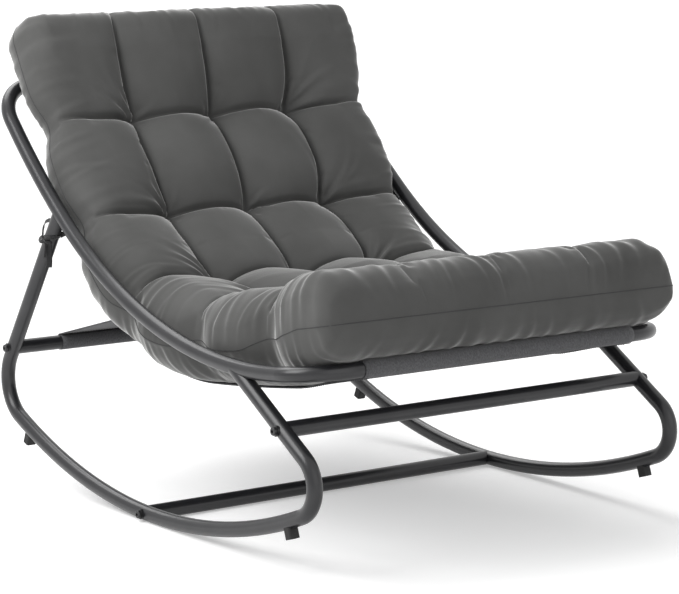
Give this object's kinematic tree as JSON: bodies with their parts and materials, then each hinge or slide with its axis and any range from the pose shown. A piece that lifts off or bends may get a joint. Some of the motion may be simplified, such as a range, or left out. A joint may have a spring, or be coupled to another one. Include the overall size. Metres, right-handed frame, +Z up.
{
  "type": "papasan rocking chair",
  "caption": "Low rocking chair: bent steel tube rockers and seat loop, woven sling, and a long tufted velvet cushion tied to the rear legs.",
  "frame": {"origin": "on the floor, at the middle of the chair's overall box", "axes": "+Z up, -Y to the front where the sitter's legs go, +X to the sitter's left hand when seated facing -Y"},
  "size_m": [0.7684, 0.9855, 0.8072],
  "materials": {
    "frame": "satin black powder coat",
    "fastener": "black oxide, satin",
    "plug": "bright zinc",
    "foot": "matte",
    "sling": "plain woven, matte",
    "velvet": "short-pile velvet with a soft sheen",
    "ribbon": "grosgrain ribbon"
  },
  "bodies": {
    "root": {"left_rocker": "frame", "right_rocker": "frame", "left_side_rail": "frame", "right_side_rail": "frame", "front_bar": "frame", "top_bar": "frame", "front_bar_screws": "fastener", "top_bar_screws": "fastener", "front_crossbar": "frame", "bottom_crossbar": "frame", "rear_crossbar": "frame", "front_crossbar_plugs": "plug", "bottom_crossbar_plugs": "plug", "rear_crossbar_plugs": "plug", "front_crossbar_bolts": "fastener", "bottom_crossbar_bolts": "fastener", "rear_crossbar_bolts": "fastener", "crossbar_washers": "fastener", "front_left_foot": "foot", "front_right_foot": "foot", "rear_left_foot": "foot", "rear_right_foot": "foot", "foot_screws": "plug", "sling": "sling", "rear_flap": "sling", "cushion": "velvet", "left_tie": "ribbon", "right_tie": "ribbon"}
  },
  "joints": []
}
